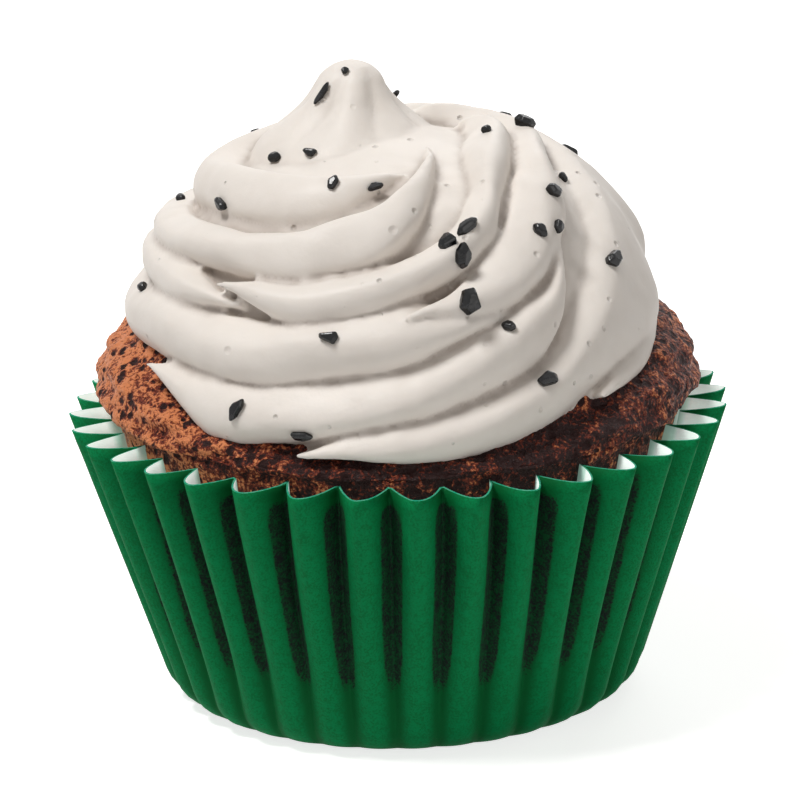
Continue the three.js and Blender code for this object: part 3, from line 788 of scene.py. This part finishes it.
RIBBONS: dict[str, Ribbon] = {
    "first": Ribbon(
        (
            (-110, 1.4, 0.8, 1.2), (-104, 1.9, 1.5, 2.2), (-92, 2.4, 2, 2.9), (-78, 3.7, 3.3, 3),
            (-66, 5.5, 3.8, 3), (-53, 7.9, 4.8, 3.2), (-40, 11.7, 7, 3.8), (-27, 15.8, 9.8, 4.6),
            (-15, 19.8, 12.5, 4.6), (0, 23, 14, 4.2), (20, 26, 14.5, 3.6), (35, 27.4, 14, 3),
            (50, 28.3, 12.5, 2.8), (70, 29, 10, 2.6), (90, 29, 8, 2.4), (125, 28, 6.5, 2),
            (150, 27, 5, 2.6), (165, 26, 4.2, 3), (174, 25.6, 3.6, 3), (195, 26.3, 3.6, 3),
            (215, 26.8, 4, 2.6), (239, 27, 3.8, 2.6), (254, 27.3, 3, 2.4), (267, 27.8, 1.7, 2),
            (276, 28.3, 0.9, 1.4),
        ),
        3.4,
    ),
    "second": Ribbon(
        (
            (-153, 7.4, 0.8, 1), (-148, 7.2, 2.6, 2.4), (-138, 6.2, 3.8, 3.4), (-127, 4.8, 3.4, 4),
            (-115, 5, 2.5, 4), (-105, 5.4, 2.2, 4.2), (-93, 6.5, 2.2, 4), (-82, 8.3, 3.1, 3.6),
            (-69, 11.2, 4.3, 3), (-59, 13.9, 5, 2.2), (-50, 16.2, 5.2, 1.8), (-44, 19, 5, 1.4),
            (-38, 21.5, 3, 0.8),
        ),
        3,
    ),
    "third": Ribbon(
        (
            (34, 9.6, 1.2, 1.6), (44, 10, 2.6, 3), (80, 10.8, 3.4, 3.4), (115, 11.2, 3.6, 3.6),
            (150, 11.3, 3.6, 3.6), (180, 10.8, 3.6, 3.6), (211, 12.4, 4.2, 3.4), (227, 11.4, 3.7, 3.2),
            (239, 11.6, 4, 3), (248, 12.6, 4.2, 2.8), (260, 12.9, 3.6, 3.2), (275, 13.8, 2.9, 3.6),
            (288, 14.6, 1.5, 2), (297, 15.2, 0.8, 1),
        ),
        3,
    ),
    "fourth": Ribbon(
        (
            (-134, 17.4, 0.8, 0.8), (-127, 17.5, 2.2, 1.8), (-113, 17, 2.6, 2.4), (-100, 18.1, 2.7, 2.2),
            (-87, 19.7, 2.5, 2.2), (-74, 21.7, 2.5, 2.4), (-62, 24.7, 3, 2.8), (-54, 26.8, 2.8, 3.2),
            (-46, 28, 3, 3.2), (-30, 29, 2.6, 3), (0, 29.6, 2, 2.4), (30, 30, 1, 1.2),
        ),
        2.6,
    ),
    "fifth": Ribbon(
        (
            (-44, 4.6, 1, 1.4), (-36, 5.4, 2, 2.6), (-16, 7.6, 2.6, 3.2), (8, 11, 3, 3.6), (50, 14.6, 3, 3.6),
            (95, 17, 3, 3.4), (135, 18.8, 2.8, 3), (165, 19.6, 2.4, 2.8), (194, 20, 1.8, 2.8),
            (215, 20.7, 1.9, 2.6), (235, 21.8, 3.2, 2), (246, 22.7, 4, 1.6), (255, 23.9, 4.5, 1.8),
            (266, 25.3, 5, 1.8), (274, 26.7, 5, 1.8), (282, 27.9, 4.6, 2), (292, 29, 3.4, 2),
            (300, 29.8, 1.8, 1.4),
        ),
        3,
    ),
    "sixth": Ribbon(
        (
            (-88, 15.4, 0.6, 0.8), (-84, 16, 1.4, 1.8), (-78, 16.2, 2, 2.6), (-66, 17.4, 2.5, 3.8),
            (-53, 19.6, 2.8, 5.3), (-44, 22.4, 3.8, 4.6), (-33, 25, 4, 3.5), (-22, 26.8, 2.9, 2.6),
            (10, 28.2, 2.8, 2.4), (35, 29, 2.6, 2), (60, 29.6, 2.4, 1.6), (80, 29.9, 1.8, 1.2),
        ),
        2.6,
    ),
    "seventh": Ribbon(
        (
            (120, 13.5, 1, 1), (140, 14.8, 2.4, 2), (165, 16.4, 2.8, 2.2), (185, 17.2, 2.8, 2),
            (205, 17, 2.6, 2), (220, 16.4, 2.2, 1.8), (232, 15.8, 1, 1.2),
        ),
        2.6,
    ),
}


@dataclass
class Frosting:
    """The piped swirl of buttercream."""

    finishes: Finishes
    lowest_crest: float = 33.0
    widest: float = 31.0
    dome: tuple[tuple[float, float, float], ...] = (
        (0, 1, 0.04), (4, 0.987, 0.045), (8, 0.955, 0.045), (12, 0.926, 0.045), (16, 0.884, 0.056),
        (20, 0.813, 0.066), (23, 0.735, 0.07), (25, 0.665, 0.06), (26.8, 0.555, 0.01), (28.2, 0.42, -0.14),
        (29.2, 0.29, -0.38), (30, 0.16, -0.75), (30.4, 0.065, -1.2),
    )
    core_inset: float = 3.0
    ribbon_back: float = 7.0
    ribbon_step: float = 1.5
    ribbon_taper: float = 25.0
    end_sink: float = 1.6
    slim_azimuth: float = 5.0
    section_points: int = 22
    peak_middle: tuple[float, float] = (-4.6, 3.0)
    peak_flutes: int = 6
    peak_twist: float = 50.0
    peak_lean: float = -0.5
    peak_profile: tuple[tuple[float, float, float], ...] = (
        (24, 11, 0), (27.5, 9.4, 0.06), (29.4, 7.2, 0.12), (31.2, 5.3, 0.17), (33, 4, 0.17),
        (34.5, 2.8, 0.12), (35.3, 1.5, 0.04), (35.6, 0.5, 0),
    )
    voxel: float = 0.38
    # These set the mask and strength of the painted shade in the creases.
    crease_passes: int = 18
    crease_start: float = 0.02
    crease_depth: float = 0.45
    crease_shade_share: float = 0.75

    def on_dome(self, azimuth: np.ndarray, rise: np.ndarray) -> tuple[np.ndarray, np.ndarray, np.ndarray]:
        """Points of the dome and the directions up along it and out of it.

        Args:
            azimuth: Degrees.
            rise: Heights above the lowest crest.

        Returns:
            Three arrays with one row for each reading.
        """
        rows = np.array(self.dome, dtype=float)
        towards = np.maximum(np.cos(np.radians(azimuth - self.slim_azimuth)), 0)
        step = 0.5

        def radius_at(height: np.ndarray) -> np.ndarray:
            """The dome's radius at each azimuth, for heights above the lowest crest."""
            share, slim = smooth_track(rows, height).T
            return self.widest * share * (1 - slim * towards)

        radius = radius_at(rise)
        change = (radius_at(rise + step) - radius_at(rise - step)) / (2 * step)
        turn = np.radians(azimuth)
        away = np.column_stack([np.cos(turn), np.sin(turn), np.zeros_like(rise)])
        up = away * change[:, None] + np.array([0, 0, 1.0])
        up /= np.linalg.norm(up, axis=1)[:, None]
        out = away * up[:, 2:3]
        out[:, 2] = -(up * away).sum(axis=1)
        point = away * radius[:, None]
        point[:, 2] = self.lowest_crest + rise
        return point, up, out

    def section(self) -> tuple[np.ndarray, np.ndarray, np.ndarray]:
        """The face of a ribbon, from its upper edge over its crest to its lower one.

        Returns:
            Shares of the reach up the dome, shares of the reach down it, and shares of the depth.
        """
        half = self.section_points // 2
        above = np.linspace(1, 0, half)
        turn = np.linspace(0, math.pi / 2, half)[1:]
        up = np.concatenate([above, np.zeros(half - 1)])
        down = np.concatenate([np.zeros(half), np.sin(turn)])
        depth = np.concatenate([0.85 * above**1.6, 1 - np.cos(turn) ** 1.2])
        return up, down, depth

    def ribbon(self, name: str, ribbon: Ribbon) -> bpy.types.Object:
        """Models one ribbon along its crest."""
        knots = np.array(ribbon.crest, dtype=float)
        count = int((knots[-1, 0] - knots[0, 0]) / self.ribbon_step) + 1
        azimuth = np.linspace(knots[0, 0], knots[-1, 0], count)
        rise, drop, band = smooth_track(knots, azimuth).T
        away = np.minimum(azimuth - azimuth[0], azimuth[-1] - azimuth)
        last = 1 - np.minimum(1, (azimuth[-1] - azimuth) / self.ribbon_taper)
        width = np.minimum(1, 0.15 + away / self.ribbon_taper)
        drop, band = width * drop, width * band
        point, up, out = self.on_dome(azimuth, rise)
        point = point - out * (self.end_sink * last**2)[:, None]
        depth = np.minimum(ribbon.height, 1.2 * np.minimum(drop, band))
        rings = []
        for above, below, deep in zip(*self.section()):
            along = up * (above * band - below * drop)[:, None]
            rings.append(point + along - out * (deep * depth)[:, None])
        rings.append(point - up * (0.95 * drop)[:, None] - out * self.ribbon_back)
        rings.append(point + up * (0.95 * band)[:, None] - out * self.ribbon_back)
        return lofted(f"ribbon_{name}", np.array(rings).transpose(1, 0, 2))

    def core(self) -> bpy.types.Object:
        """Models the solid middle under the ribbons."""
        low = self.lowest_crest - 0.4 * self.core_inset
        rows = [(max(share * self.widest - self.core_inset, 1), low + rise) for rise, share, _ in self.dome]
        angles = np.radians(np.arange(0, 360, 4))
        rings = [[(r * math.cos(a), r * math.sin(a), z) for a in angles] for r, z in rows]
        return lofted("frosting_core", np.array(rings))

    def peak(self) -> bpy.types.Object:
        """Models the fluted peak that the nozzle left."""
        profile = np.array(self.peak_profile, dtype=float)
        rises = np.linspace(profile[0, 0], profile[-1, 0], 40)
        angles = np.linspace(0, 2 * math.pi, 96, endpoint=False)
        rings = []
        for rise, (radius, cut) in zip(rises, smooth_track(profile, rises)):
            climb = (rise - rises[0]) / (rises[-1] - rises[0])
            flute = np.abs(np.cos(self.peak_flutes * angles / 2))
            reach = radius * (1 - cut * (1 - flute))
            turned = angles + math.radians(self.peak_twist) * climb
            rings.append(
                np.column_stack(
                    [
                        self.peak_middle[0] - self.peak_lean * climb**2 + reach * np.cos(turned),
                        self.peak_middle[1] + reach * np.sin(turned),
                        np.full_like(angles, self.lowest_crest + rise),
                    ]
                )
            )
        return lofted("frosting_peak", np.array(rings))

    def model(self) -> bpy.types.Object:
        """Models the ribbons, melts them into one mass and softens it."""
        parts = [self.core(), self.peak()]
        parts += [self.ribbon(name, ribbon) for name, ribbon in RIBBONS.items()]
        piece = joined("frosting_swirl", parts)
        apply_modifier(piece, "one mass", "REMESH", mode="VOXEL", voxel_size=self.voxel * MM)
        apply_modifier(piece, "softened", "SMOOTH", factor=0.5, iterations=1)
        self.hand_made(piece)
        self.mark_crease_shade(piece)
        piece.data.materials.append(FrostingFinish().material(self.finishes))
        piece.data.shade_smooth()
        return piece

    def hand_made(self, piece: bpy.types.Object) -> None:
        """Gives the smooth mass faint waves and a few shallow dents."""
        points = points_of(piece)
        normals = np.empty(3 * len(points))
        piece.data.vertices.foreach_get("normal", normals)
        normals = normals.reshape(-1, 3)
        moved = np.array(
            [0.22 * noise.noise(Vector(p) * 0.16) + 0.07 * noise.noise(Vector(p) * 0.5) for p in points]
        )
        move_points(piece, points + normals * moved[:, None])


    def mark_crease_shade(self, piece: bpy.types.Object) -> None:
        """Stores how deep each point lies below its smoothed neighbours, as the mask for painted shade in the
        creases.
        """
        points = points_of(piece)
        normals = np.empty(3 * len(points))
        piece.data.vertices.foreach_get("normal", normals)
        ends = np.empty(2 * len(piece.data.edges), dtype=np.int64)
        piece.data.edges.foreach_get("vertices", ends)
        first, second = ends.reshape(-1, 2).T
        count = np.bincount(ends, minlength=len(points))
        relaxed = points.copy()
        for _ in range(self.crease_passes):
            relaxed = np.column_stack(
                [
                    (
                        np.bincount(first, relaxed[second, axis], len(points))
                        + np.bincount(second, relaxed[first, axis], len(points))
                    )
                    / count
                    for axis in range(3)
                ]
            )
        deep = ((relaxed - points) * normals.reshape(-1, 3)).sum(axis=1)
        layer = piece.data.attributes.new("crease", "FLOAT", "POINT")
        crease = self.crease_shade_share * smooth_step(self.crease_start, self.crease_depth, deep)
        layer.data.foreach_set("value", crease.astype(np.float32))


# Sprinkles


@dataclass
class Sprinkles:
    """The black sugar crystals, pressed a little way into the frosting."""

    finishes: Finishes
    proud: float = 0.3
    edge: float = 0.14

    def model(
        self, nodes: dict[str, bpy.types.Object], frosting: bpy.types.Object
    ) -> dict[str, bpy.types.Object]:
        """Models each crystal from its plain solid and seats it on the frosting.

        Args:
            nodes: The plain solids by name.
            frosting: What the crystals lie on.

        Returns:
            The crystals, by the name of the solid that each stands for.
        """
        surface = BVHTree.FromObject(frosting, bpy.context.evaluated_depsgraph_get())
        material = SugarFinish().material(self.finishes)
        crystals = {}
        for name in sorted(n for n in nodes if n.startswith("sprinkle_")):
            crystals[name] = self.crystal(name, nodes[name], surface, material)
        return crystals

    def crystal(
        self, name: str, solid: bpy.types.Object, surface: BVHTree, material: bpy.types.Material
    ) -> bpy.types.Object:
        """Copies one plain crystal, rounds its edges and seats it."""
        piece = bpy.data.objects.new(f"{name}_crystal", solid.data.copy())
        bpy.context.scene.collection.objects.link(piece)
        piece.data.materials.clear()
        piece.data.materials.append(material)
        make_active(piece)
        bpy.ops.object.mode_set(mode="EDIT")
        bpy.ops.mesh.select_all(action="SELECT")
        bpy.ops.mesh.remove_doubles(threshold=0.000005)
        bpy.ops.mesh.dissolve_limited(angle_limit=math.radians(4))
        bpy.ops.object.mode_set(mode="OBJECT")
        apply_modifier(piece, "worn edges", "BEVEL", width=self.edge * MM, segments=2, limit_method="ANGLE")
        points = points_of(piece)
        middle = points.mean(axis=0)
        found, normal, _, _ = surface.find_nearest(Vector(middle) * MM)
        target = np.array(found) / MM + np.array(normal) * self.proud
        move_points(piece, points + target - middle)
        piece.data.shade_flat()
        return piece


# Studio


@dataclass(frozen=True)
class Studio:
    """The photograph's viewpoint, soft lamps and a pale floor."""

    distance: float = 450.0
    elevation: float = 16.75
    aim: tuple[float, float, float] = (0.22, 0.0, 31.55)
    roll: float = 1.35
    focal_share: float = 5.19188
    sensor: float = 36.0

    def camera(self) -> bpy.types.Object:
        """Sets up the camera where the photograph was taken from."""
        tilt = math.radians(self.elevation)
        data = bpy.data.cameras.new("camera")
        data.sensor_width = self.sensor
        data.lens = self.focal_share * self.sensor
        camera = bpy.data.objects.new("camera", data)
        aim = Vector(self.aim)
        eye = aim + Vector((0, -self.distance * math.cos(tilt), self.distance * math.sin(tilt)))
        back = (eye - aim).normalized()
        right = Vector((1, 0, 0))
        up = back.cross(right)
        turn = math.radians(self.roll)
        across = right * math.cos(turn) - up * math.sin(turn)
        upward = right * math.sin(turn) + up * math.cos(turn)
        place = Matrix((across, upward, back)).transposed().to_4x4()
        place.translation = eye * MM
        camera.matrix_world = place
        bpy.context.scene.collection.objects.link(camera)
        bpy.context.scene.camera = camera
        return camera

    def lamp(
        self,
        name: str,
        place: tuple[float, float, float],
        size: float,
        power: float,
        warmth: tuple[float, float, float],
    ) -> None:
        """Adds one square soft lamp that points at the cupcake."""
        data = bpy.data.lights.new(name, "AREA")
        data.size = size
        data.energy = power
        data.color = warmth
        lamp = bpy.data.objects.new(name, data)
        lamp.location = place
        lamp.rotation_euler = (Vector((0, 0, 0.04)) - Vector(place)).to_track_quat("-Z", "Y").to_euler()
        bpy.context.scene.collection.objects.link(lamp)

    def light(self) -> None:
        """Adds the lamps and the white surroundings."""
        self.lamp("key", (-0.27, -0.15, 0.68), 0.2, 3.8, (1, 0.99, 0.975))
        self.lamp("fill", (0.45, -0.65, 0.22), 0.4, 0.8, (1, 0.98, 0.95))
        self.lamp("rim", (0.2, 0.5, 0.5), 0.4, 1.2, (1, 1, 1))
        bpy.context.scene.view_settings.view_transform = "Standard"
        world = bpy.data.worlds.new("white room")
        world.use_nodes = True
        bpy.context.scene.world = world
        sheet = NodeSheet(world.node_tree)
        back = world.node_tree.nodes["Background"]
        path = sheet.add("ShaderNodeLightPath")
        seen = sheet.math("MAXIMUM", path.outputs["Is Camera Ray"], path.outputs["Is Glossy Ray"])
        seen = sheet.math("MAXIMUM", seen, path.outputs["Is Transmission Ray"])
        sheet.feed(back.inputs["Color"], sheet.mix(seen, (1, 0.92, 0.84, 1), (1, 1, 1, 1)))
        sheet.feed(back.inputs["Strength"], sheet.span(seen, 0.15, 1.0))

    def floor(self) -> bpy.types.Object:
        """Lays the pale floor, which shows white but keeps the cupcake's shadow."""
        deselect_all()
        bpy.ops.mesh.primitive_plane_add(size=6, location=(0, 0, -0.0002))
        floor = bpy.context.object
        floor.name = "floor"
        material, sheet, shader = start_material("pale floor", Roughness=0.9, Specular_IOR_Level=0.1)
        shader.inputs["Base Color"].default_value = (0.82, 0.82, 0.82, 1)
        path = sheet.add("ShaderNodeLightPath")
        seen = sheet.math("MAXIMUM", path.outputs["Is Camera Ray"], path.outputs["Is Glossy Ray"])
        shader.inputs["Emission Color"].default_value = (1, 1, 1, 1)
        sheet.feed(shader.inputs["Emission Strength"], sheet.math("MULTIPLY", seen, 0.75))
        floor.data.materials.append(material)
        return floor


def main() -> None:
    """Builds the cupcake's looks on its plain solids."""
    logging.basicConfig(level=logging.INFO, format="%(message)s")
    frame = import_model()
    deselect_all()
    studio = Studio()
    studio.camera()
    studio.light()
    studio.floor()
    finishes = Finishes()

    maker = PaperCup(finishes)
    cup = maker.model()
    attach(cup, "root")
    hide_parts("paper_cup")
    LOG.info("paper cup: %d faces", len(cup.data.polygons))

    cake = Cake(finishes, maker).model()
    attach(cake, "root")
    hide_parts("cake")
    LOG.info("cake: %d faces", len(cake.data.polygons))

    frosting = Frosting(finishes).model()
    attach(frosting, "root")
    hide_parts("frosting")
    LOG.info("frosting: %d faces", len(frosting.data.polygons))

    for node, crystal in Sprinkles(finishes).model(frame["nodes"], frosting).items():
        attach(crystal, "root")
        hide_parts(node)
    LOG.info("sprinkles seated")


if __name__ == "__main__":
    main()
